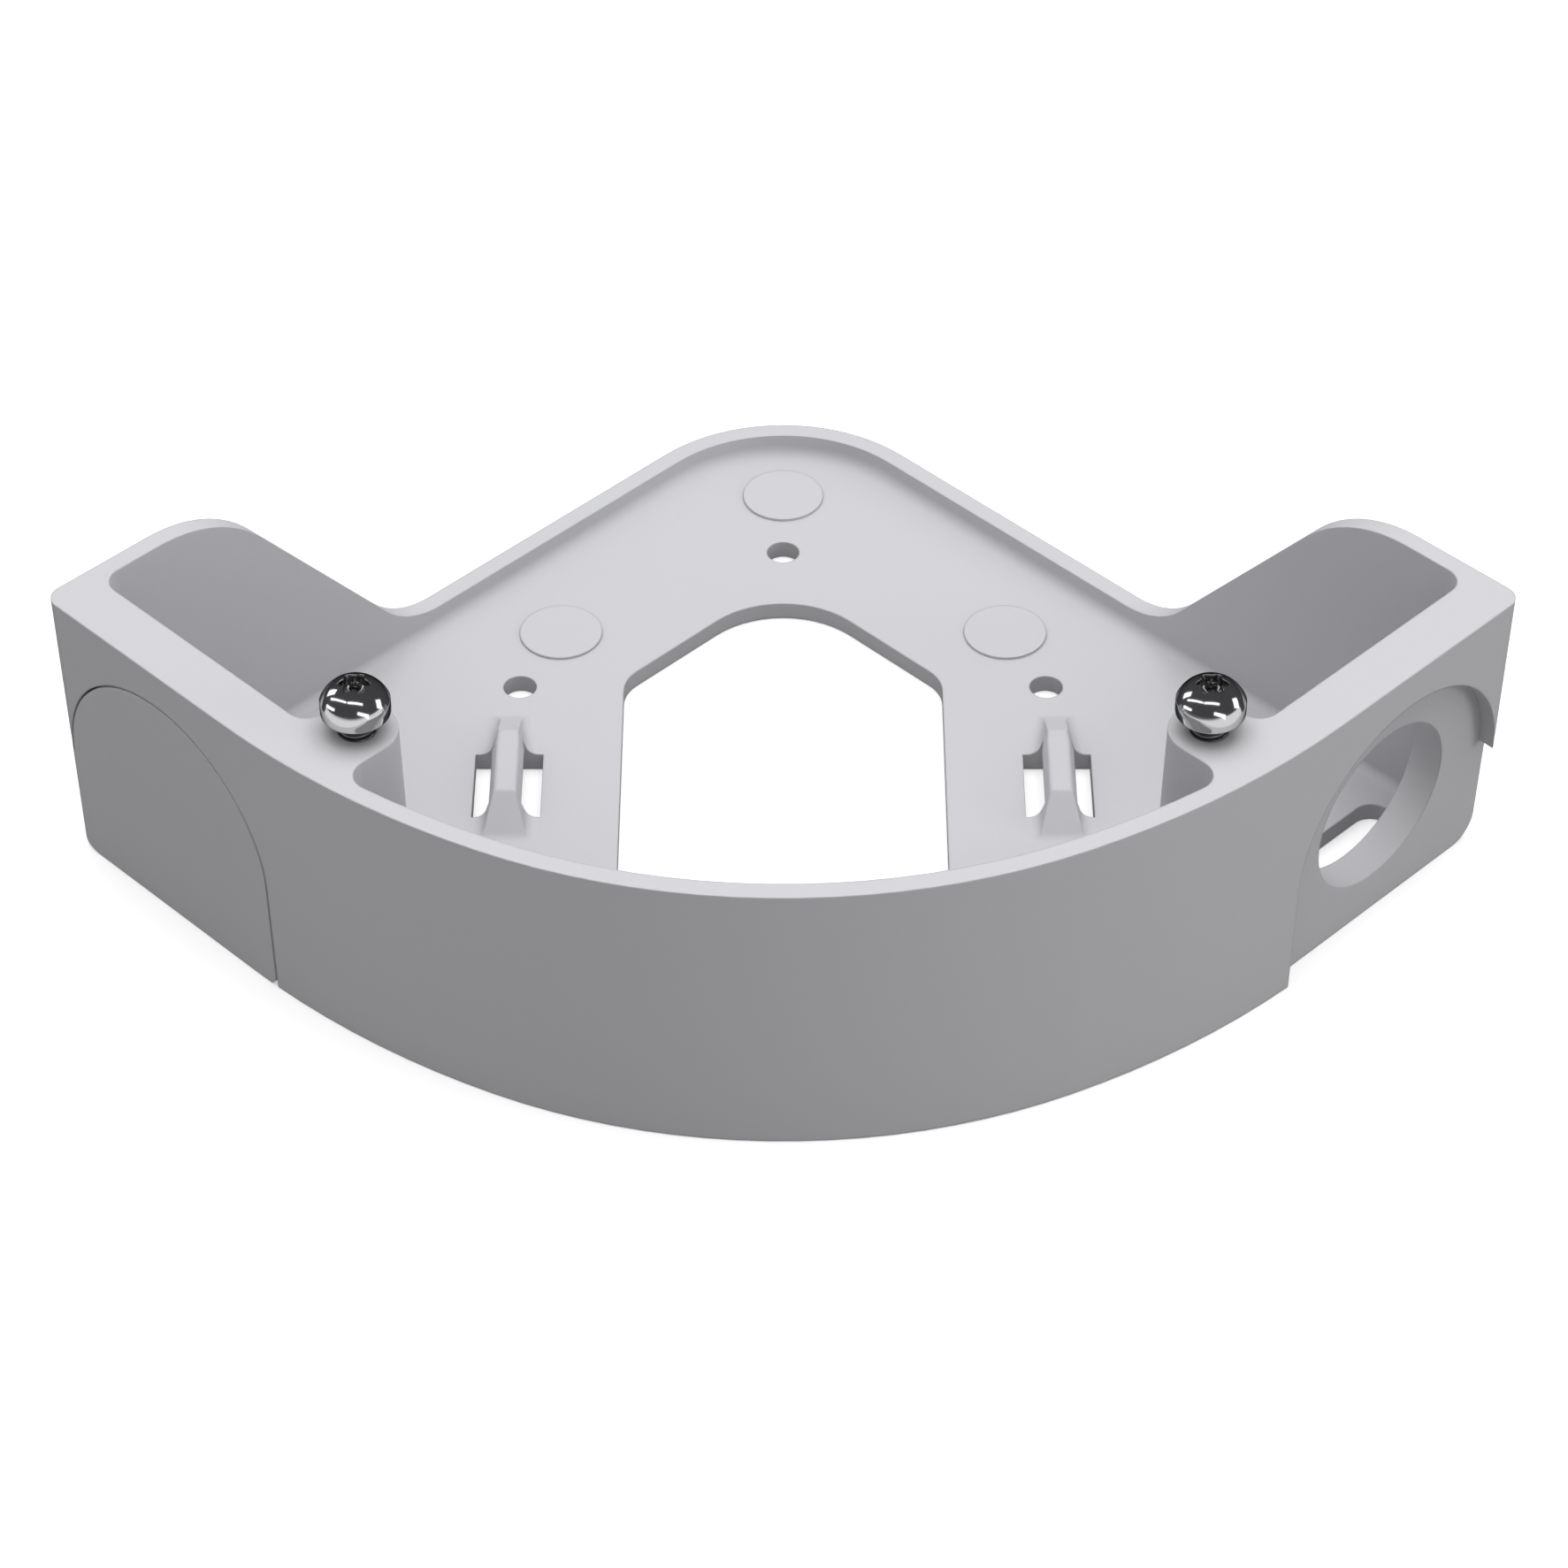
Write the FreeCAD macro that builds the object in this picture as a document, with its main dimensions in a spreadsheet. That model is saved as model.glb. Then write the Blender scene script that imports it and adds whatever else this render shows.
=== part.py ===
import FreeCAD, Part
import math
import os

import Sketcher

Vector = FreeCAD.Vector
Rotation = FreeCAD.Rotation
Placement = FreeCAD.Placement

# Corner junction box: a moulded tray whose back is a right-angled corner and whose front is bowed.
# Millimetres. X to the right, Y from the bowed front to the back corner, Z up from the base.
# The origin is on the base, half way between the front rim and the low back rim.
SIZES = [
    ("box_height", 44.0, "base to rim"),
    ("body_depth", 147.1, "front rim to low back rim"),
    ("front_radius", 88.5, "middle of the bowed front"),
    ("flank_radius", 125.0, "flatter stretches beside it"),
    ("front_half_angle", 25.8, "degrees that the middle of the front turns to each side"),
    ("apex_radius", 25.8, "rounded back corner, at rim height"),
    ("corner_radius", 2.6, "upright outer corners of the ears"),
    ("draft_angle", 1.15, "degrees that every upright wall opens towards the rim"),
    ("wall", 2.7, "front and back walls"),
    ("side_wall", 7.6, "thick side walls at the rim"),
    ("floor_thickness", 2.7, "base plate"),
    ("inner_radius", 3.1, "upright inner corners"),
    ("floor_fillet", 1.6, "floor to wall, inside"),
    ("low_rim", 6.1, "height of the back walls between the ears"),
    ("ear_top", 18.1, "level top of an ear, from its outer corner"),
    ("ear_round", 22.0, "shoulder of the ear profile"),
    ("ear_slope", 50.3, "degrees, steep edge of the ear"),
    ("ear_foot", 13.2, "hollow at the foot of that edge"),
    ("back_relief", 4.0, "rounded lower edge along the back walls"),
    ("post_along", 50.2, "screw post, from the ear corner along the side"),
    ("post_inset", 11.75, "screw post, in from the side face"),
    ("post_radius", 5.4, "screw post"),
    ("tapped_bore", 5.0, "bore in the post"),
    ("tapped_depth", 18.0, "depth of that bore"),
    ("opening_half_width", 22.9, "cable opening in the base"),
    ("opening_apex", 40.6, "where its slanted edges would meet"),
    ("opening_front", -42.0, "its front edge"),
    ("opening_apex_radius", 13.8, "its rounded back corner"),
    ("opening_shoulder", 6.0, "its other corners"),
    ("hole_size", 4.8, "three fixing holes"),
    ("back_hole_y", 46.9, "fixing hole at the back"),
    ("side_hole_x", 37.8, "fixing holes at the sides"),
    ("side_hole_y", 16.0, "fixing holes at the sides"),
    ("pad_radius", 6.0, "three low round pads"),
    ("pad_height", 0.35, "three low round pads"),
    ("back_pad_y", 60.3, "pad at the back"),
    ("side_pad_x", 32.3, "pads at the sides"),
    ("side_pad_y", 28.1, "pads at the sides"),
    ("tie_x", 38.7, "middle of a cable tie bridge"),
    ("tie_front", -16.75, "front foot of the bridge"),
    ("tie_back", 9.5, "end of the ramp at its back"),
    ("tie_crest_back", 0.8, "where the ramp begins"),
    ("tie_height", 4.9, "top of the bridge above the floor"),
    ("tie_crest_width", 3.0, "level top of the bridge"),
    ("tie_front_slope", 45.0, "degrees, front of the bridge"),
    ("tie_flank", 71.0, "degrees, flanks of the bridge"),
    ("tie_root", 2.0, "hollow root of the bridge"),
    ("tie_crest_round", 0.7, "rounded edges of its top"),
    ("tie_width", 4.8, "bridge between its slots"),
    ("tie_strap", 2.2, "thickness of the bridge over the tunnel"),
    ("tie_slot_width", 9.6, "slot under the bridge"),
    ("tie_slot_back", 1.2, "back edge of the slot"),
    ("tie_slot_length", 13.3, "slot under the bridge"),
    ("ear_slot_inner", 16.0, "slot in the floor of an ear: far edge, in from the side face"),
    ("ear_slot_width", 7.0, "slot in the floor of an ear"),
    ("ear_slot_start", 7.7, "its outer end, from the ear corner"),
    ("ear_slot_end", 40.0, "its other end, from the ear corner"),
    ("ear_slot_radius", 3.0, "its corners"),
    ("port_depth", 2.5, "arched recess for a side cover"),
    ("port_along", 22.3, "middle of the recess, from the ear corner"),
    ("port_radius", 20.3, "arch of the recess"),
    ("port_spring", 18.0, "height where the arch begins"),
    ("conduit_size", 25.5, "conduit hole"),
    ("conduit_along", 23.1, "conduit hole, from the ear corner"),
    ("conduit_height", 19.2, "conduit hole above the base"),
    ("cover_gap", 0.3, "cover to the edge of its recess"),
    ("cover_corner", 2.0, "lower front corner of the cover"),
    ("spigot_clearance", 0.25, "cover spigot in the conduit hole"),
    ("spigot_length", 4.0, "spigot behind the cover"),
    ("spigot_wall", 1.6, "spigot"),
    ("head_size", 9.6, "screw head"),
    ("head_side", 1.5, "upright side of the head"),
    ("head_dome", 3.7, "domed top of the head"),
    ("head_edge", 0.9, "bevelled lower edge of the head"),
    ("head_lift", 3.0, "underside of the head above the rim"),
    ("shank_size", 4.8, "screw shank"),
    ("shank_length", 16.0, "screw shank"),
    ("recess_size", 3.4, "six-lobed recess, across its lobes"),
    ("recess_core", 2.5, "six-lobed recess, between its lobes"),
    ("recess_depth", 2.4, "six-lobed recess"),
]
OVERRUN = 5.0

doc = FreeCAD.newDocument("corner_junction_box")
sheet = doc.addObject("Spreadsheet::Sheet", "Sizes")
for row, (alias, number, note) in enumerate(SIZES, start=1):
    sheet.set(f"A{row}", alias)
    sheet.set(f"B{row}", str(number))
    sheet.set(f"C{row}", note)
    sheet.setAlias(f"B{row}", alias)
doc.recompute()


class Formula:
    """A size worked out from the sheet's cells, kept as the text of an expression."""

    def __init__(self, text):
        self.text = text.text if isinstance(text, Formula) else str(text)

    def join(self, sign, other):
        return Formula(f"({self.text} {sign} {Formula(other).text})")

    def __add__(self, other):
        return self.join("+", other)

    def __sub__(self, other):
        return self.join("-", other)

    def __mul__(self, other):
        return self.join("*", other)

    def __truediv__(self, other):
        return self.join("/", other)

    def __neg__(self):
        return Formula(f"(0 - {self.text})")

    @property
    def number(self):
        return float(sheet.evalExpression(self.text))


def of(function, inner):
    return Formula(f"{function}({Formula(inner).text})")


def cell(alias):
    return Formula(f"Sizes.{alias}")


def bind(target, path, formula):
    target.setExpression(path, Formula(formula).text)


ROOT2 = Formula("sqrt(2)")
HEIGHT = cell("box_height")
FLOOR = cell("floor_thickness")
DRAFT = of("tan", cell("draft_angle"))
TURN = cell("front_half_angle")

# The bowed front: a middle arc, a flatter flank arc tangent to it, and a side line tangent to that.
front_y = -(cell("body_depth") / 2)
middle_y = front_y + cell("front_radius")
flank_step = cell("flank_radius") - cell("front_radius")
flank_x = flank_step * of("sin", TURN)
flank_y = middle_y + flank_step * of("cos", TURN)
side_reach = cell("flank_radius") * ROOT2 - flank_x - flank_y
back_reach = (cell("body_depth") / 2 + (HEIGHT - cell("low_rim")) * DRAFT
              + cell("apex_radius") * (ROOT2 - 1))

# The left ear's sharp corner at the rim, where the side line meets the back line.
ear_x = -((back_reach + side_reach) / 2)
ear_y = (back_reach - side_reach) / 2
back_length = -ear_x * ROOT2
tangent_along = (flank_x - flank_y - ear_x + ear_y) / ROOT2


def on_side(along, inset):
    """Plan point, measured from the left ear corner forward along the side and in from its face."""
    return (ear_x + (Formula(along) + inset) / ROOT2, ear_y + (Formula(inset) - along) / ROOT2)


def on_back(along, inset):
    """Plan point, measured from the left ear corner along the back wall and in from its face."""
    return (ear_x + (Formula(along) + inset) / ROOT2, ear_y + (Formula(along) - inset) / ROOT2)


def flipped(point):
    return (-point[0], point[1])


def origin_plane(body, role):
    return next(item for item in body.Origin.OriginFeatures if item.Role == role)


def new_body(name):
    body = doc.addObject("PartDesign::Body", name)
    body.Label = name
    return body


def flat_sketch(body, name, height=0):
    """A sketch that looks down on the part at some height."""
    sketch = body.newObject("Sketcher::SketchObject", name)
    sketch.AttachmentSupport = [(origin_plane(body, "XY_Plane"), "")]
    sketch.MapMode = "FlatFace"
    bind(sketch, "AttachmentOffset.Base.z", height)
    return sketch


def upright_sketch(body, name, x, y, turn):
    """A sketch that stands on the base at x, y. Its own X lies along the turned X axis, its Y is up."""
    sketch = body.newObject("Sketcher::SketchObject", name)
    sketch.AttachmentSupport = [(origin_plane(body, "XZ_Plane"), "")]
    sketch.MapMode = "FlatFace"
    sketch.AttachmentOffset = Placement(Vector(0, 0, 0), Rotation(Vector(0, 1, 0), turn))
    bind(sketch, "AttachmentOffset.Base.x", x)
    bind(sketch, "AttachmentOffset.Base.z", -Formula(y))
    return sketch


def pin(sketch, element, position, point):
    """Holds one point of a sketch by its two distances from the sketch's origin."""
    for kind, formula in (("DistanceX", point[0]), ("DistanceY", point[1])):
        number = formula.number
        index = sketch.addConstraint(Sketcher.Constraint(kind, -1, 1, element, position, number))
        bind(sketch, f"Constraints[{index}]", formula)


def draw_circle(sketch, center, radius):
    middle = Vector(Formula(center[0]).number, Formula(center[1]).number, 0)
    index = sketch.addGeometry(Part.Circle(middle, Vector(0, 0, 1), Formula(radius).number))
    limit = sketch.addConstraint(Sketcher.Constraint("Radius", index, Formula(radius).number))
    bind(sketch, f"Constraints[{limit}]", radius)
    pin(sketch, index, 3, (Formula(center[0]), Formula(center[1])))


def draw_outline(sketch, steps):
    """Draws a closed outline. Each step is a corner and the edge that leaves it: None for a straight
    edge, or the radius of an arc and +1 where it turns left, -1 where it turns right."""
    corners = [(Formula(x), Formula(y)) for x, y, _edge in steps]
    spots = [Vector(x.number, y.number, 0) for x, y in corners]
    ends = []
    for place, (_x, _y, edge) in enumerate(steps):
        start = spots[place]
        finish = spots[(place + 1) % len(spots)]
        if edge is None:
            index = sketch.addGeometry(Part.LineSegment(start, finish))
            ends.append((index, 1, 2))
            continue
        radius, side = Formula(edge[0]), edge[1]
        chord = finish - start
        rise = math.sqrt(max(radius.number ** 2 - chord.Length ** 2 / 4, 0.0))
        across = Vector(-chord.y, chord.x, 0).normalize()
        middle = (start + finish) / 2 + across * rise * side
        first, last = (start, finish) if side > 0 else (finish, start)
        begin = math.atan2(first.y - middle.y, first.x - middle.x)
        sweep = (math.atan2(last.y - middle.y, last.x - middle.x) - begin) % (2 * math.pi)
        circle = Part.Circle(middle, Vector(0, 0, 1), radius.number)
        index = sketch.addGeometry(Part.ArcOfCircle(circle, begin, begin + sweep))
        limit = sketch.addConstraint(Sketcher.Constraint("Radius", index, radius.number))
        bind(sketch, f"Constraints[{limit}]", radius)
        ends.append((index, 1, 2) if side > 0 else (index, 2, 1))
    for place, (index, head, tail) in enumerate(ends):
        following = ends[(place + 1) % len(ends)]
        sketch.addConstraint(Sketcher.Constraint("Coincident", index, tail, following[0], following[1]))
        pin(sketch, index, head, corners[place])


def add_pad(body, name, sketch, length, reverse=False, middle=False, leaning=False):
    pad = body.newObject("PartDesign::Pad", name)
    pad.Profile = sketch
    bind(pad, "Length", length)
    pad.Reversed = reverse
    pad.Midplane = middle
    if leaning:
        bind(pad, "TaperAngle", -cell("draft_angle"))
    body.Tip = pad
    doc.recompute()
    return pad


def add_pocket(body, name, sketch, length, reverse=False, middle=False, leaning=False):
    before = body.Shape.Volume
    pocket = body.newObject("PartDesign::Pocket", name)
    pocket.Profile = sketch
    bind(pocket, "Length", length)
    pocket.Reversed = reverse
    pocket.Midplane = middle
    if leaning:
        bind(pocket, "TaperAngle", -cell("draft_angle"))
    body.Tip = pocket
    doc.recompute()
    if not pocket.Shape.Volume < before - 1e-3:
        raise RuntimeError(f"{name} cuts nothing")
    return pocket


def mirror(body, name, features):
    """Repeats features on the other side of the middle plane."""
    copy = body.newObject("PartDesign::Mirrored", name)
    copy.Originals = features
    copy.MirrorPlane = (origin_plane(body, "YZ_Plane"), [""])
    body.Tip = copy
    doc.recompute()
    return copy


def level_face(shape, height):
    """Name of the level face at some height with the largest area."""
    found = [(face.Area, f"Face{index}") for index, face in enumerate(shape.Faces, start=1)
             if abs(face.BoundBox.ZMax - height) < 1e-4 and abs(face.BoundBox.ZMin - height) < 1e-4]
    return max(found)[1]


def leaning_sketch(body, name, plane):
    """A sketch on a side wall's leaning face. Its X runs from the ear corner, its Y up from the rim."""
    sketch = body.newObject("Sketcher::SketchObject", name)
    sketch.AttachmentSupport = [(plane, "")]
    sketch.MapMode = "FlatFace"
    sketch.AttachmentOffset = Placement(Vector(0, 0, 0), Rotation(Vector(1, 0, 0), 1))
    bind(sketch, "AttachmentOffset.Rotation.Angle", cell("draft_angle"))
    return sketch


def side_plane(body, name):
    """The upright plane through the left side's rim edge, with its origin at the ear corner."""
    plane = body.newObject("PartDesign::Plane", name)
    plane.AttachmentSupport = [(origin_plane(body, "XZ_Plane"), "")]
    plane.MapMode = "FlatFace"
    plane.AttachmentOffset = Placement(Vector(0, 0, 0), Rotation(Vector(0, 1, 0), -45))
    bind(plane, "AttachmentOffset.Base.x", ear_x)
    bind(plane, "AttachmentOffset.Base.y", HEIGHT)
    bind(plane, "AttachmentOffset.Base.z", -ear_y)
    return plane


# Outline of the box at the rim: left half first, from the front arc round the ear to the back corner.
corner = cell("corner_radius")
apex = cell("apex_radius")
left_join = (-(cell("front_radius") * of("sin", TURN)), middle_y - cell("front_radius") * of("cos", TURN))


def outer_steps():
    side_start = on_side(tangent_along, 0)
    ear_side = on_side(corner, 0)
    ear_back = on_back(corner, 0)
    apex_start = on_back(back_length - apex, 0)
    return [
        (*left_join, (cell("flank_radius"), -1)),
        (*side_start, None),
        (*ear_side, (corner, -1)),
        (*ear_back, None),
        (*apex_start, (apex, -1)),
        (*flipped(apex_start), None),
        (*flipped(ear_back), (corner, -1)),
        (*flipped(ear_side), None),
        (*flipped(side_start), (cell("flank_radius"), -1)),
        (*flipped(left_join), (cell("front_radius"), -1)),
    ]


# Outline of the hollow at the rim. Each screw post stands on a web that leaves the side wall.
wall = cell("wall")
inner = cell("inner_radius")
post = cell("post_radius")
post_near = cell("post_along") - post
post_far = cell("post_along") + post
front_inner = cell("front_radius") - wall
flank_inner = cell("flank_radius") - wall
root_along = post_far + inner
root_inset = cell("flank_radius") - of("sqrt", (flank_inner - inner) * (flank_inner - inner)
                                      - (root_along - tangent_along) * (root_along - tangent_along))
root_scale = flank_inner / (flank_inner - inner)
root_end_along = tangent_along + (root_along - tangent_along) * root_scale
root_end_inset = cell("flank_radius") + (root_inset - cell("flank_radius")) * root_scale


def inner_steps():
    join = (-(front_inner * of("sin", TURN)), middle_y - front_inner * of("cos", TURN))
    root_end = on_side(root_end_along, root_end_inset)
    root_start = on_side(post_far, root_inset)
    post_front = on_side(post_far, cell("post_inset"))
    post_tip = on_side(cell("post_along"), cell("post_inset") + post)
    post_back = on_side(post_near, cell("post_inset"))
    pocket_post = on_side(post_near, cell("side_wall") + inner)
    pocket_side = on_side(post_near - inner, cell("side_wall"))
    ear_side = on_side(wall + inner, cell("side_wall"))
    ear_back = on_side(wall, cell("side_wall") + inner)
    apex_start = on_back(back_length - apex, wall)
    half = [
        (join, (flank_inner, -1)),
        (root_end, (inner, -1)),
        (root_start, None),
        (post_front, (post, 1)),
        (post_tip, (post, 1)),
        (post_back, None),
        (pocket_post, (inner, -1)),
        (pocket_side, None),
        (ear_side, (inner, -1)),
        (ear_back, None),
        (apex_start, (apex - wall, -1)),
    ]
    steps = [(*point, edge) for point, edge in half]
    edges = [edge for _point, edge in half]
    for place in range(len(half) - 1, -1, -1):
        point = flipped(half[place][0])
        edge = edges[place - 1] if place else (front_inner, -1)
        steps.append((*point, edge))
    return steps


housing = new_body("housing")
outline = flat_sketch(housing, "rim_outline", HEIGHT)
draw_outline(outline, outer_steps())
add_pad(housing, "block", outline, HEIGHT, reverse=True, leaning=True)
hollow = flat_sketch(housing, "hollow_outline", HEIGHT)
draw_outline(hollow, inner_steps())
cavity = add_pocket(housing, "hollow", hollow, HEIGHT - FLOOR, leaning=True)

# Fillet round the floor.
floor_face = cavity.Shape.getElement(level_face(cavity.Shape, FLOOR.number))
floor_edges = [f"Edge{index}" for index, edge in enumerate(cavity.Shape.Edges, start=1)
               if any(edge.isSame(other) for other in floor_face.Edges)]
fillet = housing.newObject("PartDesign::Fillet", "floor_round")
fillet.Base = (cavity, floor_edges)
bind(fillet, "Radius", cell("floor_fillet"))
housing.Tip = fillet
doc.recompute()

# The back walls drop from the ears to a low rim: level, round, steep, hollow, level.
slope = cell("ear_slope")
sine = of("sin", slope)
cosine = of("cos", slope)
low = cell("low_rim")
shoulder_end = cell("ear_top") + cell("ear_round") * sine
shoulder_low = HEIGHT - cell("ear_round") * (Formula(1) - cosine)
foot_high = low + cell("ear_foot") * (Formula(1) - cosine)
foot_start = shoulder_end + (shoulder_low - foot_high) * cosine / sine
ear_depth = apex * (ROOT2 - 1) / ROOT2 + wall * 2
ear_cut = upright_sketch(housing, "ear_outline", *on_back(0, ear_depth), 45)
draw_outline(ear_cut, [
    (cell("ear_top"), HEIGHT, (cell("ear_round"), -1)),
    (shoulder_end, shoulder_low, None),
    (foot_start, foot_high, (cell("ear_foot"), 1)),
    (foot_start + cell("ear_foot") * sine, low, None),
    (back_length + OVERRUN, low, None),
    (back_length + OVERRUN, HEIGHT + OVERRUN, None),
    (cell("ear_top"), HEIGHT + OVERRUN, None),
])
ears = add_pocket(housing, "ear_step", ear_cut, ear_depth + OVERRUN)
mirror(housing, "ear_step_right", [ears])


def relieve_back(body):
    """Rounds the lower edge along the back walls and round the back corner."""
    radius = cell("back_relief")
    lean = cell("draft_angle")
    center = HEIGHT * DRAFT - radius * DRAFT + radius / of("cos", lean)
    section = [
        (-Formula(OVERRUN), -Formula(OVERRUN), None),
        (center, -Formula(OVERRUN), None),
        (center, 0, (radius, -1)),
        (center - radius * of("cos", lean), radius - radius * of("sin", lean), None),
        (-Formula(OVERRUN), radius - radius * of("sin", lean), None),
    ]
    profile = upright_sketch(body, "relief_outline", *on_back(-Formula(OVERRUN), 0), -45)
    draw_outline(profile, section)
    straight = add_pocket(body, "relief", profile, back_length - apex + OVERRUN)
    mirror(body, "relief_right", [straight])
    turned = upright_sketch(body, "relief_corner_outline", *on_back(back_length - apex, 0), -45)
    draw_outline(turned, section)
    axis = turned.addGeometry(Part.LineSegment(Vector(apex.number, 0, 0), Vector(apex.number, 10, 0)), True)
    turned.addConstraint(Sketcher.Constraint("Vertical", axis))
    pin(turned, axis, 1, (apex, Formula(0)))
    before = body.Shape.Volume
    groove = body.newObject("PartDesign::Groove", "relief_corner")
    groove.Profile = turned
    groove.ReferenceAxis = (turned, ["Axis0"])
    groove.Angle = 90
    groove.Reversed = True
    body.Tip = groove
    doc.recompute()
    if not groove.Shape.Volume < before - 1e-3:
        raise RuntimeError("relief corner cuts nothing")


relieve_back(housing)

# Arched recess in the side face, open to the base and out through the ear's end.
port_depth = cell("port_depth")
port_along = cell("port_along")
port_radius = cell("port_radius")
ramp = of("cos", cell("draft_angle"))


def up_face(height):
    """Distance along the leaning face from the rim to some height, negative downwards."""
    return (Formula(height) - HEIGHT) / ramp


side = side_plane(housing, "side")
recess = leaning_sketch(housing, "recess_outline", side)
spring = up_face(cell("port_spring"))
foot = up_face(-Formula(OVERRUN))
draw_outline(recess, [
    (-Formula(OVERRUN), foot, None),
    (port_along + port_radius, foot, None),
    (port_along + port_radius, spring, (port_radius, 1)),
    (port_along, spring + port_radius, (port_radius, 1)),
    (port_along - port_radius, spring, None),
    (-Formula(OVERRUN), spring, None),
])
port = add_pocket(housing, "recess", recess, port_depth)
bore = leaning_sketch(housing, "conduit_outline", side)
draw_circle(bore, (cell("conduit_along"), up_face(cell("conduit_height"))), cell("conduit_size") / 2)
conduit = add_pocket(housing, "conduit_hole", bore, cell("side_wall") + wall)
mirror(housing, "recess_and_hole_right", [port, conduit])

# Blind bores in the screw posts.
post_axis = on_side(cell("post_along"), cell("post_inset"))
bores = flat_sketch(housing, "post_bores", HEIGHT)
for axis in (post_axis, flipped(post_axis)):
    draw_circle(bores, axis, cell("tapped_bore") / 2)
add_pocket(housing, "tapped_bores", bores, cell("tapped_depth"))

# Openings through the base: cable opening, three fixing holes, a slot in each ear's floor.
half_width = cell("opening_half_width")
peak = cell("opening_apex")
front = cell("opening_front")
shoulder = cell("opening_shoulder")
peak_radius = cell("opening_apex_radius")
trim = shoulder * (ROOT2 - 1)
shoulder_y = peak - half_width
through = FLOOR + cell("floor_fillet")
base = flat_sketch(housing, "base_outline")
draw_outline(base, [
    (-half_width, front + shoulder, (shoulder, 1)),
    (-half_width + shoulder, front, None),
    (half_width - shoulder, front, (shoulder, 1)),
    (half_width, front + shoulder, None),
    (half_width, shoulder_y - trim, (shoulder, 1)),
    (half_width - trim / ROOT2, shoulder_y + trim / ROOT2, None),
    (peak_radius / ROOT2, peak - peak_radius / ROOT2, (peak_radius, 1)),
    (-(peak_radius / ROOT2), peak - peak_radius / ROOT2, None),
    (-half_width + trim / ROOT2, shoulder_y + trim / ROOT2, (shoulder, 1)),
    (-half_width, shoulder_y - trim, None),
])
side_hole = (cell("side_hole_x"), cell("side_hole_y"))
for axis in ((Formula(0), cell("back_hole_y")), side_hole, flipped(side_hole)):
    draw_circle(base, axis, cell("hole_size") / 2)
near = cell("ear_slot_inner") - cell("ear_slot_width")
far = cell("ear_slot_inner")
first = cell("ear_slot_start")
last = cell("ear_slot_end")
round_off = cell("ear_slot_radius")
slot = [
    (first, near + round_off, (round_off, 1)),
    (first + round_off, near, None),
    (last - round_off, near, (round_off, 1)),
    (last, near + round_off, None),
    (last, far - round_off, (round_off, 1)),
    (last - round_off, far, None),
    (first + round_off, far, (round_off, 1)),
    (first, far - round_off, None),
]
draw_outline(base, [(*on_side(along, inset), edge) for along, inset, edge in slot])
right_slot = [(*flipped(on_side(along, inset)), edge) for along, inset, edge in slot]
backwards = []
for place in range(len(right_slot) - 1, -1, -1):
    edge = right_slot[place - 1][2]
    backwards.append((right_slot[place][0], right_slot[place][1], edge))
draw_outline(base, backwards)
add_pocket(housing, "base_openings", base, through, reverse=True)

# Low round pads on the floor.
pads = flat_sketch(housing, "pad_outline", FLOOR)
side_pad = (cell("side_pad_x"), cell("side_pad_y"))
for axis in ((Formula(0), cell("back_pad_y")), side_pad, flipped(side_pad)):
    draw_circle(pads, axis, cell("pad_radius"))
add_pad(housing, "pads", pads, cell("pad_height"))

# Cable tie bridge: a hump with a ramp at its back, sloping flanks and a hollow root. A tunnel runs
# through it, over a slot in the base that is wider than the bridge.
tie_x = cell("tie_x")
crest = cell("tie_crest_width") / 2
rise = cell("tie_height")
spread = crest + rise / of("tan", cell("tie_flank"))
tie_front = cell("tie_front")
crest_front = tie_front + rise / of("tan", cell("tie_front_slope"))
crest_back = cell("tie_crest_back")
tie_back = cell("tie_back")
bend = crest_back - cell("tie_root")
roof = FLOOR + rise


def bridge_steps(front_half, front_at, bend_half, back_at):
    return [
        (tie_x - front_half, front_at, None),
        (tie_x + front_half, front_at, None),
        (tie_x + bend_half, bend, None),
        (tie_x + crest, back_at, None),
        (tie_x - crest, back_at, None),
        (tie_x - bend_half, bend, None),
    ]


lower = flat_sketch(housing, "bridge_foot", FLOOR)
draw_outline(lower, bridge_steps(spread, tie_front, spread, tie_back))
upper = flat_sketch(housing, "bridge_crest", roof)
draw_outline(upper, bridge_steps(crest, crest_front, crest, crest_back))
bridge = housing.newObject("PartDesign::AdditiveLoft", "bridge")
bridge.Profile = lower
bridge.Sections = [upper]
bridge.Ruled = True
housing.Tip = bridge
doc.recompute()
bridges = mirror(housing, "bridge_left", [bridge])


def bridge_edges(shape, height, low_x, high_x):
    """Edges of both bridges that lie at some height, within a reach from the middle plane."""
    names = []
    for index, edge in enumerate(shape.Edges, start=1):
        box = edge.BoundBox
        level = abs(box.ZMax - height) < 1e-4 and abs(box.ZMin - height) < 1e-4
        reach = min(abs(box.XMin), abs(box.XMax)), max(abs(box.XMin), abs(box.XMax))
        aside = reach[0] > low_x - 1e-4 and reach[1] < high_x + 1e-4
        along = box.YMin > tie_front.number - 1e-4 and box.YMax < tie_back.number + 1e-4
        if level and aside and along and len(edge.Vertexes) == 2:
            names.append(f"Edge{index}")
    return names


def round_bridges(name, base, height, radius):
    low_x = (tie_x - spread).number
    high_x = (tie_x + spread).number
    rounding = housing.newObject("PartDesign::Fillet", name)
    rounding.Base = (base, bridge_edges(base.Shape, height.number, low_x, high_x))
    bind(rounding, "Radius", radius)
    housing.Tip = rounding
    doc.recompute()
    return rounding


rooted = round_bridges("bridge_root", bridges, FLOOR, cell("tie_root"))
round_bridges("bridge_crest_round", rooted, roof, cell("tie_crest_round"))

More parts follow.
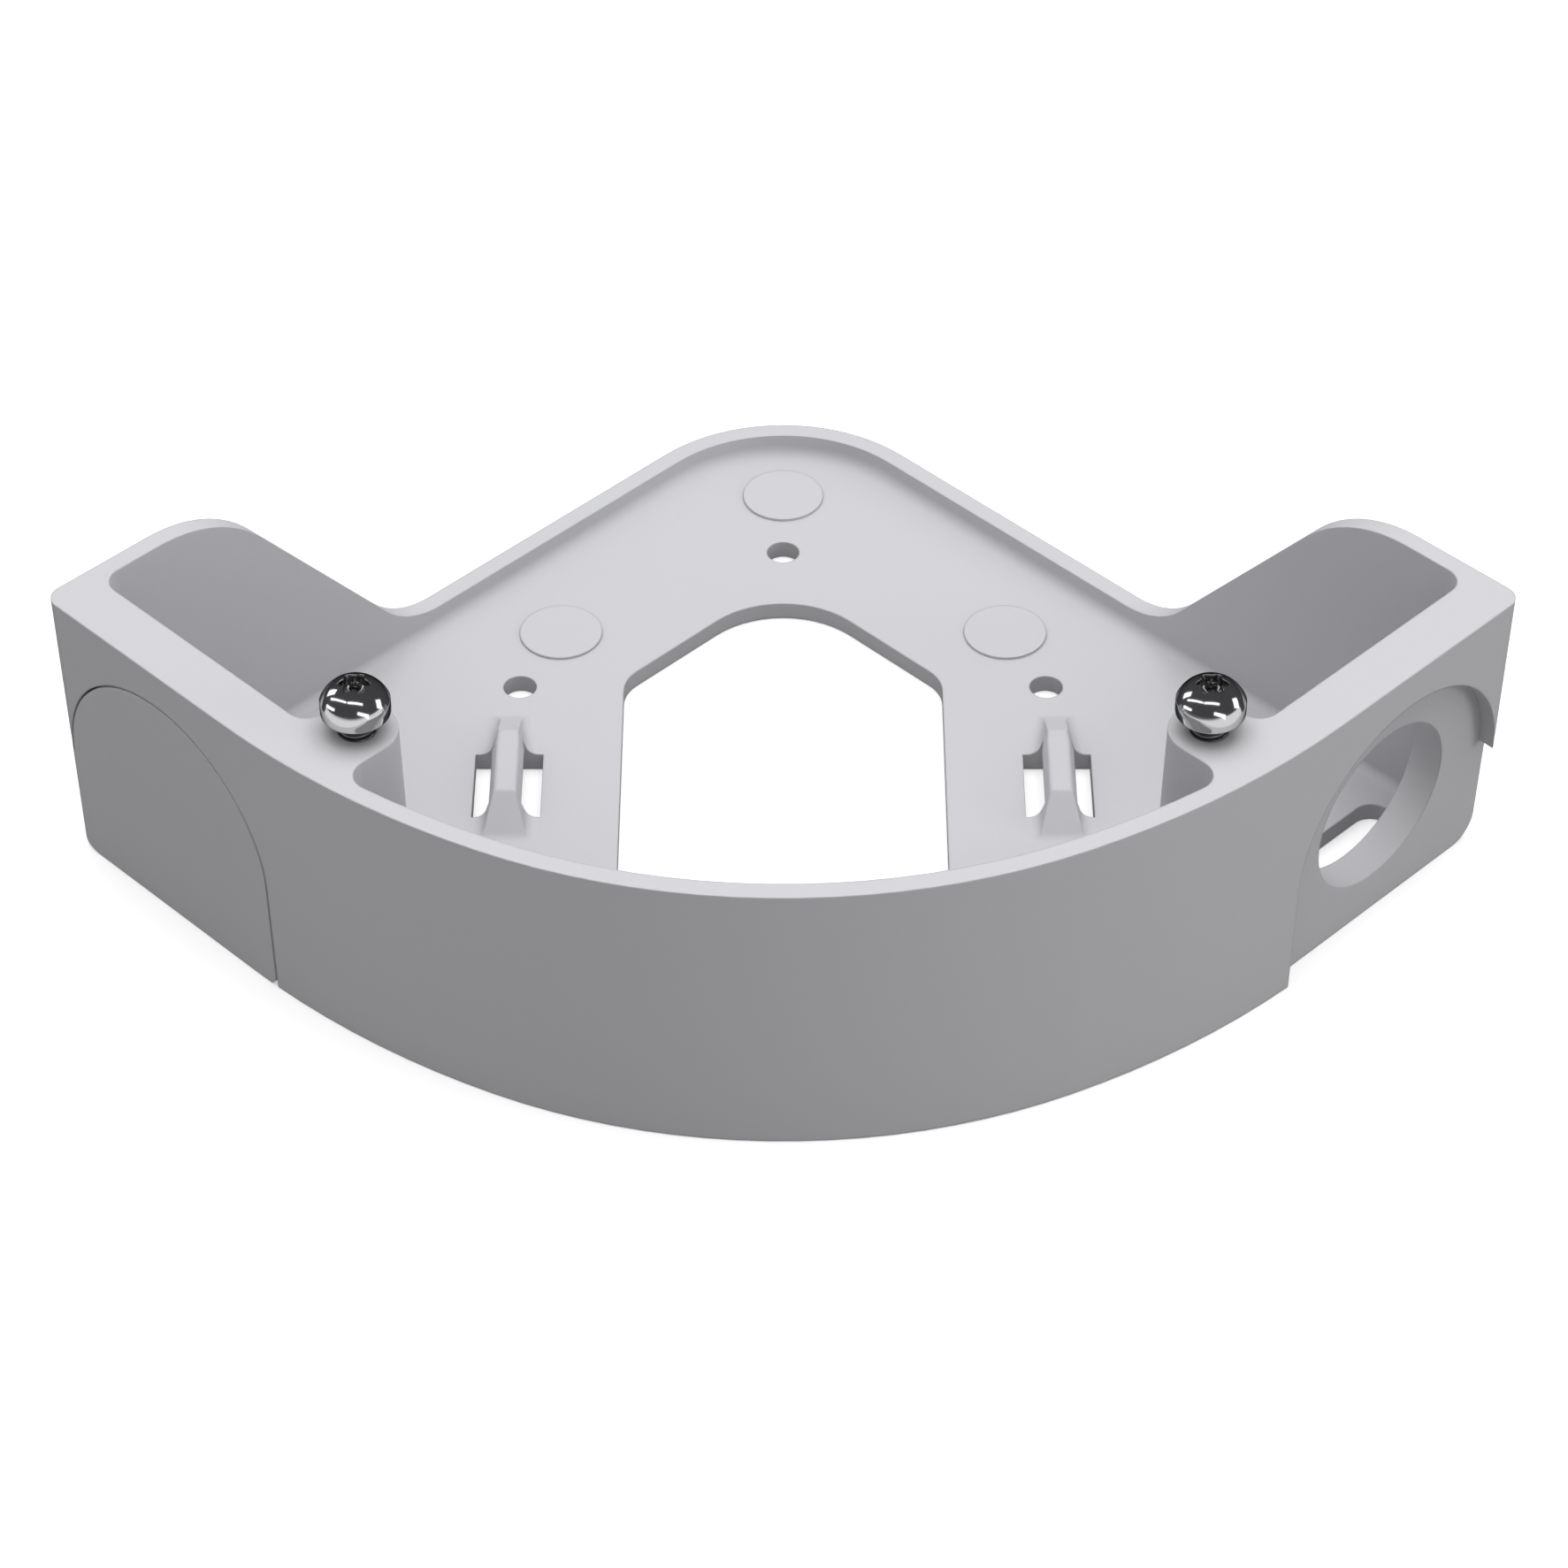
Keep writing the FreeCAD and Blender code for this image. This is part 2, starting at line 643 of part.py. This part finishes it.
slot_side = cell("tie_slot_width") / 2
slot_back = cell("tie_slot_back")
slot_front = slot_back - cell("tie_slot_length")
strap_side = cell("tie_width") / 2
tie_gap = flat_sketch(housing, "bridge_slot_outline")
for way in (1, -1):
    sides = [tie_x + strap_side * way, tie_x + slot_side * way][::way]
    draw_outline(tie_gap, [
        (sides[0], slot_front, None),
        (sides[1], slot_front, None),
        (sides[1], slot_back, None),
        (sides[0], slot_back, None),
    ])
gaps = add_pocket(housing, "bridge_slots", tie_gap, roof + OVERRUN, reverse=True)
tunnel_view = flat_sketch(housing, "tunnel_outline")
draw_outline(tunnel_view, [
    (tie_x - slot_side, slot_front, None),
    (tie_x + slot_side, slot_front, None),
    (tie_x + slot_side, slot_back, None),
    (tie_x - slot_side, slot_back, None),
])
tunnel = add_pocket(housing, "tunnel", tunnel_view, roof - cell("tie_strap"), reverse=True)
mirror(housing, "bridge_slots_left", [gaps, tunnel])

# The box's outside as one solid, to trim the cover to.
envelope = new_body("box_outside")
outside = flat_sketch(envelope, "outside_outline", HEIGHT)
draw_outline(outside, outer_steps())
add_pad(envelope, "outside", outside, HEIGHT, reverse=True, leaning=True)
relieve_back(envelope)

# Side cover: a plate that fills the left recess flush, with a hollow spigot in the conduit hole.
gap = cell("cover_gap")
blank = new_body("cover_blank")
blank_side = side_plane(blank, "cover_side")


def seat_sketch(name):
    """A sketch on the floor of the recess."""
    sketch = leaning_sketch(blank, name, blank_side)
    bind(sketch, "AttachmentOffset.Base.y", port_depth * of("sin", cell("draft_angle")))
    bind(sketch, "AttachmentOffset.Base.z", -(port_depth * ramp))
    return sketch


arch_radius = port_radius - gap
cover_front = port_along + arch_radius
cover_foot = cell("cover_corner")
base_line = up_face(-gap)
plate = seat_sketch("plate_outline")
draw_outline(plate, [
    (-Formula(OVERRUN), foot, None),
    (cover_front - cover_foot, foot, None),
    (cover_front - cover_foot, base_line, (cover_foot, 1)),
    (cover_front, base_line + cover_foot, None),
    (cover_front, spring, (arch_radius, 1)),
    (port_along, spring + arch_radius, (arch_radius, 1)),
    (port_along - of("sqrt", arch_radius * arch_radius - gap * gap), spring - gap, None),
    (-Formula(OVERRUN), spring - gap, None),
])
add_pad(blank, "plate", plate, port_depth + OVERRUN)
ring = seat_sketch("spigot_outline")
spigot_radius = cell("conduit_size") / 2 - cell("spigot_clearance")
spigot_axis = (cell("conduit_along"), up_face(cell("conduit_height")))
draw_circle(ring, spigot_axis, spigot_radius)
draw_circle(ring, spigot_axis, spigot_radius - cell("spigot_wall"))
add_pad(blank, "spigot", ring, cell("spigot_length"), reverse=True)
cover = doc.addObject("Part::Common", "side_cover")
cover.Label = "side_cover"
cover.Base = blank
cover.Tool = envelope

# Pan head screws, standing a little proud in the posts.
head_radius = cell("head_size") / 2
shank_radius = cell("shank_size") / 2
bevel = cell("head_edge")
head_low = HEIGHT + cell("head_lift")
head_high = head_low + cell("head_side")
head_top = head_high + cell("head_dome")
shank_tip = head_low - cell("shank_length")
dome_radius = ((head_radius * head_radius + cell("head_dome") * cell("head_dome"))
               / (cell("head_dome") * 2))
lobe_middle = (cell("recess_size") + cell("recess_core")) / 4
half_chord = lobe_middle * of("sin", 15)
lobe_rise = cell("recess_size") / 2 - lobe_middle * of("cos", 15)
dip_rise = lobe_middle * of("cos", 15) - cell("recess_core") / 2
lobe_radius = (half_chord * half_chord + lobe_rise * lobe_rise) / (lobe_rise * 2)
dip_radius = (half_chord * half_chord + dip_rise * dip_rise) / (dip_rise * 2)


def make_screw(name, axis):
    screw = new_body(name)
    bind(screw, "Placement.Base.x", axis[0])
    bind(screw, "Placement.Base.y", axis[1])
    section = upright_sketch(screw, f"{name}_section", 0, 0, 0)
    draw_outline(section, [
        (0, shank_tip, None),
        (shank_radius - bevel, shank_tip, None),
        (shank_radius, shank_tip + bevel, None),
        (shank_radius, head_low, None),
        (head_radius - bevel, head_low, None),
        (head_radius, head_low + bevel, None),
        (head_radius, head_high, (dome_radius, 1)),
        (0, head_top, None),
    ])
    turned = screw.newObject("PartDesign::Revolution", f"{name}_turned")
    turned.Profile = section
    turned.ReferenceAxis = (section, ["V_Axis"])
    turned.Angle = 360
    screw.Tip = turned
    doc.recompute()
    lobes = flat_sketch(screw, f"{name}_recess_outline", head_top)
    steps = []
    for lobe in range(6):
        for turn, radius, side_of in ((-15, lobe_radius, 1), (15, dip_radius, -1)):
            angle = 60 * lobe + turn
            steps.append((lobe_middle * of("cos", angle), lobe_middle * of("sin", angle), (radius, side_of)))
    draw_outline(lobes, steps)
    add_pocket(screw, f"{name}_recess", lobes, cell("recess_depth"))
    return screw


screws = [make_screw("camera_screw_left", post_axis), make_screw("camera_screw_right", flipped(post_axis))]

doc.recompute()
for item in doc.Objects:
    bad = {"Invalid", "Error"} & set(item.State)
    if bad:
        raise RuntimeError(f"{item.Label} is {', '.join(sorted(bad))}")

os.makedirs("parts", exist_ok=True)
for body in [housing, cover, *screws]:
    solid = body.Shape
    if solid.isNull() or not solid.isValid() or len(solid.Solids) != 1:
        raise RuntimeError(f"{body.Label} is not one sound solid")
    solid.exportStep(f"parts/{body.Label}.step")
    print(body.Label, round(solid.Volume, 1), len(solid.Faces))
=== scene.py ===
import math

import bpy
from mathutils import Matrix, Vector


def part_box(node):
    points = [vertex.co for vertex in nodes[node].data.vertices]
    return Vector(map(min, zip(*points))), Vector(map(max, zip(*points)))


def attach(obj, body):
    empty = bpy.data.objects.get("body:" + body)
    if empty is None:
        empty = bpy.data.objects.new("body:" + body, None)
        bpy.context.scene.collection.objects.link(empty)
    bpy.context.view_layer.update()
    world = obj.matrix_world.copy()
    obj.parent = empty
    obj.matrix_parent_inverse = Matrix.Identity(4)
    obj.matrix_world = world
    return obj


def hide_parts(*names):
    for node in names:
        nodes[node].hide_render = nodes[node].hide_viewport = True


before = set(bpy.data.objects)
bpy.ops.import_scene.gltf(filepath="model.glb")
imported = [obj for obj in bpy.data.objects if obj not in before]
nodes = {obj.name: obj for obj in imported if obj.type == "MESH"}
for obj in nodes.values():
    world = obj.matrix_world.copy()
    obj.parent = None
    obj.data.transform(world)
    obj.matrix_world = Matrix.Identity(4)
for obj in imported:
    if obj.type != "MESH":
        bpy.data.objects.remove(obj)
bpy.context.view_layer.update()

MILLIMETRE = 0.001
WHITE = (1.0, 1.0, 1.0, 1.0)

# The photograph's camera, from its outline: place in metres, pitch in degrees, focal length and
# middle of the picture in the photograph's pixels. The sensor is in millimetres.
PHOTO_WIDTH = 1773
CAMERA_AT = Vector((0.0, -0.5315, 0.4666))
CAMERA_PITCH = 41.388
FOCAL_PIXELS = 5645.15
PICTURE_MIDDLE_X = 885.5
SENSOR = 36.0
FARTHEST_SEEN = 20.0

# White powder coat. The grain is a faint orange peel.
PAINT = (0.69, 0.69, 0.715, 1.0)
PAINT_ROUGHNESS = 0.5
PAINT_GLOSS = 0.3
PAINT_EDGE = 0.45 * MILLIMETRE
GRAIN_SCALE = 1400.0
GRAIN_DETAIL = 2.0
GRAIN_STRENGTH = 0.08
GRAIN_HEIGHT = 0.08 * MILLIMETRE

# Painted shade: the paint's colour is made darker where walls stand close. How far away a wall
# still counts, in metres, and the share of the effect.
PAINTED_SHADE_REACH = 0.06
PAINTED_SHADE_SHARE = 0.3
PAINTED_SHADE_SAMPLES = 8

# Steel: grey and roughness, and the tint of what it reflects at a low angle.
HEAD_STEEL = (0.62, 0.1)
# The thread and shank take a darker copy of the same steel: painted shade under the head.
SHADED_THREAD_STEEL = (0.14, 0.3)
LOW_ANGLE_TINT = (0.1, 0.1, 0.1, 1.0)
STEEL_EDGE = 0.15 * MILLIMETRE
EDGE_SAMPLES = 6

# Screws: M5, coarse pitch, in millimetres. Heights are above the rim.
ROUND_STEPS = 96
SHARP_ANGLE = 35.0
HEAD_TOP = 8.2
HEAD_LOW = 2.9
HEAD_RADIUS = 4.62
DOME_RADIUS = 4.95
DOME_EDGE = 4.56
DOME_EDGE_DROP = 0.12
DOME_RINGS = 14
UNDER_EDGE = 0.4
UNDER_EDGE_STEPS = 8
LOBES = 6
LOBE_MIDDLE = 1.86
LOBE_DEPTH = 0.3
RECESS_DEPTH = 2.3
RECESS_FLOOR = 0.4
RECESS_FLOOR_SHARE = 0.3
RECESS_EDGE_WIDTH = 0.05
RECESS_EDGE_DROP = 0.08
SHANK_RADIUS = 2.38
NECK_ROUND = 0.05
NECK_MARGIN = 0.01
TIP_RADIUS = 1.5

# The thread's ridge: radii in millimetres, and heights as shares of the pitch.
PITCH = 0.8
THREAD_TURNS = 4.5
THREAD_FADE_STEPS = 10
THREAD_ROOT = 2.36
THREAD_CREST = 2.49
RIDGE = [(THREAD_ROOT, -0.45), (THREAD_CREST, -0.06), (THREAD_CREST, 0.06), (THREAD_ROOT, 0.45)]

# Studio: even light and large soft lamps (name, place, size, watts).
WORLD_LIGHT = 0.36
LAMPS = [
    ("overhead", (0.05, 0.05, 1.6), (1.7, 1.7), 21.5),
    ("right", (1.6, -0.5, 0.4), (0.6, 0.6), 4.0),
]

# Strip lights for polished metal: the ends of each strip's middle line and its width.
STRIP_BRIGHTNESS = 2.2
STRIPS = [
    ("strip_front_left", (-2.5, 0.25, 1.4), (-0.6, -0.72, 1.4), 0.19),
    ("strip_front", (-0.6, -0.72, 1.4), (0.66, -0.86, 1.4), 0.18),
    ("window_back_left", (-1.24, 0.78, 0.26), (-1.06, 0.48, 0.82), 0.3),
    ("window_left", (-1.46, 0.2, 0.13), (-1.3, -0.54, 0.48), 0.15),
    ("window_right", (1.34, 0.24, 0.66), (1.45, -0.14, 0.28), 0.45),
    ("window_front", (0.2, -1.24, 0.75), (0.94, -1.06, 0.36), 0.22),
]

# What polished metal sees: a white backdrop in front, whose top is lower towards the back, a dark
# ceiling above it and darkness behind.
HORIZON_LEAN = (-0.045, 0.175, 1.0)
BACKDROP_TOP = 0.05
CEILING_START = 0.09
DARK_BEHIND = (0.1, 0.5)
CEILING_GREY = (0.075, 0.075, 0.08, 1.0)

# The floor: half its width and its distance below the box, in metres, then its looks.
FLOOR_HALF = 0.8
FLOOR_GAP = 0.2 * MILLIMETRE
FLOOR_SEEN = (0.9, 0.9, 0.9, 1.0)
FLOOR_LIFT = 0.45
FLOOR_BOUNCE = (0.22, 0.22, 0.22, 1.0)


def new_material(name):
    material = bpy.data.materials.new(name)
    material.use_nodes = True
    tree = material.node_tree
    return material, tree, tree.nodes["Principled BSDF"]


def soft_edges(tree, radius):
    """Rounds sharp edges in the shading, as a moulded or coated edge is."""
    bevel = tree.nodes.new("ShaderNodeBevel")
    bevel.samples = EDGE_SAMPLES
    bevel.inputs["Radius"].default_value = radius
    return bevel.outputs["Normal"]


def color_mix(tree):
    """The sockets of a new mix of two colours: share, first, second and result."""
    mix = tree.nodes.new("ShaderNodeMix")
    mix.data_type = "RGBA"
    return mix.inputs[0], mix.inputs[6], mix.inputs[7], mix.outputs[2]


def painted_shade_in_hollows(tree, color):
    """The colour with painted shade: a little darker where walls stand close."""
    painted_shade_node = tree.nodes.new("ShaderNodeAmbientOcclusion")
    painted_shade_node.only_local = True
    painted_shade_node.samples = PAINTED_SHADE_SAMPLES
    painted_shade_node.inputs["Distance"].default_value = PAINTED_SHADE_REACH
    painted_shade_node.inputs["Color"].default_value = color
    share, open_color, painted_shade_color, result = color_mix(tree)
    share.default_value = PAINTED_SHADE_SHARE
    open_color.default_value = color
    tree.links.new(painted_shade_node.outputs["Color"], painted_shade_color)
    return result


def painted_white(name):
    """White powder coat: satin, with a faint orange peel, and painted shade down in the hollows."""
    material, tree, shader = new_material(name)
    shader.inputs["Base Color"].default_value = PAINT
    # Painted shade: the base colour is darkened where walls stand close.
    tree.links.new(painted_shade_in_hollows(tree, PAINT), shader.inputs["Base Color"])
    shader.inputs["Roughness"].default_value = PAINT_ROUGHNESS
    shader.inputs["Specular IOR Level"].default_value = PAINT_GLOSS
    place = tree.nodes.new("ShaderNodeTexCoord")
    grain = tree.nodes.new("ShaderNodeTexNoise")
    grain.inputs["Scale"].default_value = GRAIN_SCALE
    grain.inputs["Detail"].default_value = GRAIN_DETAIL
    bump = tree.nodes.new("ShaderNodeBump")
    bump.inputs["Strength"].default_value = GRAIN_STRENGTH
    bump.inputs["Distance"].default_value = GRAIN_HEIGHT
    tree.links.new(place.outputs["Object"], grain.inputs["Vector"])
    tree.links.new(grain.outputs["Fac"], bump.inputs["Height"])
    tree.links.new(soft_edges(tree, PAINT_EDGE), bump.inputs["Normal"])
    tree.links.new(bump.outputs["Normal"], shader.inputs["Normal"])
    return material


def steel(name, grey, roughness):
    material, tree, shader = new_material(name)
    shader.inputs["Base Color"].default_value = (grey, grey, grey, 1.0)
    shader.inputs["Metallic"].default_value = 1.0
    shader.inputs["Roughness"].default_value = roughness
    shader.inputs["Specular Tint"].default_value = LOW_ANGLE_TINT
    tree.links.new(soft_edges(tree, STEEL_EDGE), shader.inputs["Normal"])
    return material


def dress(node, material):
    mesh = nodes[node].data
    mesh.materials.clear()
    mesh.materials.append(material)


def add_mesh(name, vertices, faces, material):
    mesh = bpy.data.meshes.new(name)
    mesh.from_pydata(vertices, [], faces)
    mesh.update()
    mesh.materials.append(material)
    piece = bpy.data.objects.new(name, mesh)
    bpy.context.scene.collection.objects.link(piece)
    return piece


def screw_axis(node):
    """Where the screw's axis meets the rim."""
    low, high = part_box(node)
    middle = (low + high) / 2
    return Vector((middle.x, middle.y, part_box("housing")[1].z))


def around(axis, step, radius, height):
    """A point beside a screw's axis. The radius and the height are in millimetres."""
    angle = 2 * math.pi * step / ROUND_STEPS
    return axis + Vector((radius * math.cos(angle), radius * math.sin(angle), height)) * MILLIMETRE


def dome_height(radius):
    return HEAD_TOP - DOME_RADIUS + math.sqrt(DOME_RADIUS ** 2 - radius ** 2)


def recess_and_dome():
    """Rings of radius and height from the recess's floor up and over the dome to its edge."""
    recess_low = HEAD_TOP - RECESS_DEPTH
    floor_low = recess_low - RECESS_FLOOR * (1 - RECESS_FLOOR_SHARE)
    turns = [2 * math.pi * step / ROUND_STEPS for step in range(ROUND_STEPS)]
    lobe = [LOBE_MIDDLE + LOBE_DEPTH * math.cos(LOBES * turn) for turn in turns]
    rings = [
        [(radius * RECESS_FLOOR_SHARE, floor_low) for radius in lobe],
        [(radius, recess_low) for radius in lobe],
        [(radius, dome_height(radius) - RECESS_EDGE_DROP) for radius in lobe],
    ]
    start = [radius + RECESS_EDGE_WIDTH for radius in lobe]
    for ring in range(DOME_RINGS + 1):
        share = ring / DOME_RINGS
        spread = [radius + (DOME_EDGE - radius) * share for radius in start]
        rings.append([(radius, dome_height(radius)) for radius in spread])
    return rings


def edge_and_shank(tip):
    """Round rings of radius and height from the dome's edge down to the tip."""
    points = [(HEAD_RADIUS, dome_height(DOME_EDGE) - DOME_EDGE_DROP)]
    for step in range(UNDER_EDGE_STEPS + 1):
        turn = math.radians(90 * step / UNDER_EDGE_STEPS)
        radius = HEAD_RADIUS - UNDER_EDGE * (1 - math.cos(turn))
        points.append((radius, HEAD_LOW + UNDER_EDGE * (1 - math.sin(turn))))
    points.append((SHANK_RADIUS + NECK_ROUND, HEAD_LOW))
    points.append((SHANK_RADIUS, HEAD_LOW - NECK_ROUND))
    points.append((SHANK_RADIUS, tip + SHANK_RADIUS - TIP_RADIUS))
    points.append((TIP_RADIUS, tip))
    return [[point] * ROUND_STEPS for point in points]


def closed_rings(axis, start_height, rings, end_height):
    """Vertices and faces of a row of rings, closed by a point on the axis at each end."""
    vertices = [axis + Vector((0.0, 0.0, start_height)) * MILLIMETRE]
    for ring in rings:
        for step, (radius, height) in enumerate(ring):
            vertices.append(around(axis, step, radius, height))
    vertices.append(axis + Vector((0.0, 0.0, end_height)) * MILLIMETRE)
    last = len(vertices) - 1
    last_ring = last - ROUND_STEPS
    faces = []
    for step in range(ROUND_STEPS):
        following = (step + 1) % ROUND_STEPS
        faces.append((0, 1 + step, 1 + following))
        for inner in range(1, last_ring, ROUND_STEPS):
            outer = inner + ROUND_STEPS
            faces.append((inner + step, outer + step, outer + following, inner + following))
        faces.append((last, last_ring + following, last_ring + step))
    return vertices, faces


def pan_head_screw(side, material, below):
    """The whole screw in place of its plain solid: domed head, six-lobed recess and shank."""
    node = f"camera_screw_{side}"
    axis = screw_axis(node)
    tip = (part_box(node)[0].z - axis.z) / MILLIMETRE
    recess_bottom = HEAD_TOP - RECESS_DEPTH - RECESS_FLOOR
    rings = recess_and_dome() + edge_and_shank(tip)
    vertices, faces = closed_rings(axis, recess_bottom, rings, tip)
    piece = add_mesh(f"pan_head_screw_{side}", vertices, faces, material)
    # Faces under the head take the darker copy of the steel: painted shade under the head.
    piece.data.materials.append(below)
    neck = axis.z + (HEAD_LOW + NECK_MARGIN) * MILLIMETRE
    for face in piece.data.polygons:
        if all(vertices[corner].z < neck for corner in face.vertices):
            face.material_index = 1
    piece.data.shade_smooth()
    piece.data.set_sharp_from_angle(angle=math.radians(SHARP_ANGLE))
    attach(piece, "root")
    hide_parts(node)


def thread(side, material):
    """The bare thread between a screw's head and the rim: a ridge wound round the shank."""
    axis = screw_axis(f"camera_screw_{side}")
    count = int(THREAD_TURNS * ROUND_STEPS)
    width = len(RIDGE)
    vertices = []
    for step in range(count + 1):
        height = PITCH * (step / ROUND_STEPS - 1)
        fade = min(1.0, step / THREAD_FADE_STEPS, (count - step) / THREAD_FADE_STEPS)
        for radius, rise in RIDGE:
            reach = THREAD_ROOT + (radius - THREAD_ROOT) * fade
            vertices.append(around(axis, step, reach, height + rise * PITCH))
    faces = []
    for start in range(0, count * width, width):
        for place in range(width):
            near = start + place
            beside = start + (place + 1) % width
            faces.append((near, near + width, beside + width, beside))
    faces.append(tuple(range(width)))
    faces.append(tuple(range((count + 1) * width - 1, count * width - 1, -1)))
    # The thread takes the darker copy of the steel: painted shade under the head.
    piece = add_mesh(f"screw_thread_{side}", vertices, faces, material)
    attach(piece, "root")


def camera():
    data = bpy.data.cameras.new("camera")
    data.sensor_width = SENSOR
    data.lens = FOCAL_PIXELS / PHOTO_WIDTH * SENSOR
    data.shift_x = (PHOTO_WIDTH / 2 - PICTURE_MIDDLE_X) / PHOTO_WIDTH
    data.clip_end = FARTHEST_SEEN
    eye = bpy.data.objects.new("camera", data)
    eye.location = CAMERA_AT
    eye.rotation_euler = (math.radians(90 - CAMERA_PITCH), 0.0, 0.0)
    bpy.context.scene.collection.objects.link(eye)
    bpy.context.scene.camera = eye


def area_light(name, place, along, size, power):
    """A rectangular lamp that faces the object, its length lying along a direction."""
    data = bpy.data.lights.new(name, "AREA")
    data.shape = "RECTANGLE"
    data.size, data.size_y = size
    data.energy = power
    lamp = bpy.data.objects.new(name, data)
    back = Vector(place).normalized()
    length = (Vector(along) - back * back.dot(Vector(along))).normalized()
    axes = Matrix((length, back.cross(length), back)).transposed()
    lamp.matrix_world = Matrix.Translation(place) @ axes.to_4x4()
    bpy.context.scene.collection.objects.link(lamp)
    return lamp


def soft_lamp(name, place, size, power):
    """A lamp that lights the box and doesn't show in polished metal."""
    lamp = area_light(name, place, (1.0, 0.0, 0.0), size, power)
    lamp.visible_glossy = False


def strip_light(name, start, end, width):
    """A strip that shows in polished metal and adds no diffuse light."""
    along = Vector(end) - Vector(start)
    middle = (Vector(start) + Vector(end)) / 2
    power = STRIP_BRIGHTNESS * math.pi * along.length * width
    lamp = area_light(name, middle, along, (along.length, width), power)
    lamp.visible_diffuse = False


def larger(tree, first, second):
    """The larger of two values."""
    node = tree.nodes.new("ShaderNodeMath")
    node.operation = "MAXIMUM"
    tree.links.new(first, node.inputs[0])
    tree.links.new(second, node.inputs[1])
    return node.outputs[0]


def split_by_ray(tree, path, spread, seen, surface):
    """One shader for light that spreads, another where the camera, a mirror or a glass looks."""
    looking = larger(tree, path.outputs["Is Camera Ray"], path.outputs["Is Glossy Ray"])
    mix = tree.nodes.new("ShaderNodeMixShader")
    tree.links.new(larger(tree, looking, path.outputs["Is Transmission Ray"]), mix.inputs["Fac"])
    tree.links.new(spread, mix.inputs[1])
    tree.links.new(seen, mix.inputs[2])
    tree.links.new(mix.outputs[0], surface)


def mirrored_studio(tree):
    """What polished metal sees in each direction."""
    direction = tree.nodes.new("ShaderNodeTexCoord")
    height = tree.nodes.new("ShaderNodeVectorMath")
    height.operation = "DOT_PRODUCT"
    height.inputs[1].default_value = HORIZON_LEAN
    split = tree.nodes.new("ShaderNodeSeparateXYZ")
    behind = tree.nodes.new("ShaderNodeMapRange")
    behind.inputs["From Min"].default_value, behind.inputs["From Max"].default_value = DARK_BEHIND
    ceiling = tree.nodes.new("ShaderNodeValToRGB")
    backdrop_end, ceiling_end = ceiling.color_ramp.elements
    backdrop_end.position = BACKDROP_TOP
    backdrop_end.color = WHITE
    ceiling_end.position = CEILING_START
    ceiling_end.color = CEILING_GREY
    tree.links.new(direction.outputs["Generated"], height.inputs[0])
    tree.links.new(direction.outputs["Generated"], split.inputs[0])
    tree.links.new(split.outputs["Y"], behind.inputs["Value"])
    darker = larger(tree, height.outputs["Value"], behind.outputs["Result"])
    tree.links.new(darker, ceiling.inputs["Fac"])
    return ceiling.outputs["Color"]


def studio_world():
    """Even light. The camera sees it white, and polished metal sees a backdrop and a ceiling."""
    world = bpy.data.worlds.new("studio")
    bpy.context.scene.world = world
    world.use_nodes = True
    tree = world.node_tree
    lit = tree.nodes["Background"]
    lit.inputs["Color"].default_value = WHITE
    lit.inputs["Strength"].default_value = WORLD_LIGHT
    path = tree.nodes.new("ShaderNodeLightPath")
    share, mirrored, direct, result = color_mix(tree)
    direct.default_value = WHITE
    tree.links.new(path.outputs["Is Camera Ray"], share)
    tree.links.new(mirrored_studio(tree), mirrored)
    seen = tree.nodes.new("ShaderNodeBackground")
    tree.links.new(result, seen.inputs["Color"])
    surface = tree.nodes["World Output"].inputs["Surface"]
    split_by_ray(tree, path, lit.outputs[0], seen.outputs[0], surface)


def floor():
    """Pale floor: white to the camera apart from the shadow, and a quiet grey in the light it spreads."""
    material, tree, shader = new_material("pale_floor")
    shader.inputs["Base Color"].default_value = FLOOR_SEEN
    shader.inputs["Roughness"].default_value = 1.0
    shader.inputs["Specular IOR Level"].default_value = 0.0
    shader.inputs["Emission Color"].default_value = WHITE
    path = tree.nodes.new("ShaderNodeLightPath")
    lift = tree.nodes.new("ShaderNodeMath")
    lift.operation = "MULTIPLY"
    lift.inputs[1].default_value = FLOOR_LIFT
    tree.links.new(path.outputs["Is Camera Ray"], lift.inputs[0])
    tree.links.new(lift.outputs[0], shader.inputs["Emission Strength"])
    quiet = tree.nodes.new("ShaderNodeBsdfDiffuse")
    quiet.inputs["Color"].default_value = FLOOR_BOUNCE
    surface = tree.nodes["Material Output"].inputs["Surface"]
    split_by_ray(tree, path, quiet.outputs[0], shader.outputs[0], surface)
    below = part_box("housing")[0].z - FLOOR_GAP
    signs = ((-1, -1), (1, -1), (1, 1), (-1, 1))
    corners = [(x * FLOOR_HALF, y * FLOOR_HALF, below) for x, y in signs]
    ground = add_mesh("floor", corners, [(0, 1, 2, 3)], material)
    ground.visible_glossy = False


dress("housing", painted_white("white_powder_coat"))
dress("side_cover", painted_white("cover_powder_coat"))
head_steel = steel("polished_steel", *HEAD_STEEL)
# A darker copy of the steel for the thread and shank: painted shade under the head.
shaded_thread_steel = steel("shaded_thread_steel", *SHADED_THREAD_STEEL)
for side in ("left", "right"):
    dress(f"camera_screw_{side}", head_steel)
    pan_head_screw(side, head_steel, shaded_thread_steel)
    thread(side, shaded_thread_steel)

camera()
studio_world()
for lamp in LAMPS:
    soft_lamp(*lamp)
for strip in STRIPS:
    strip_light(*strip)
floor()

bpy.context.scene.view_settings.view_transform = "Standard"
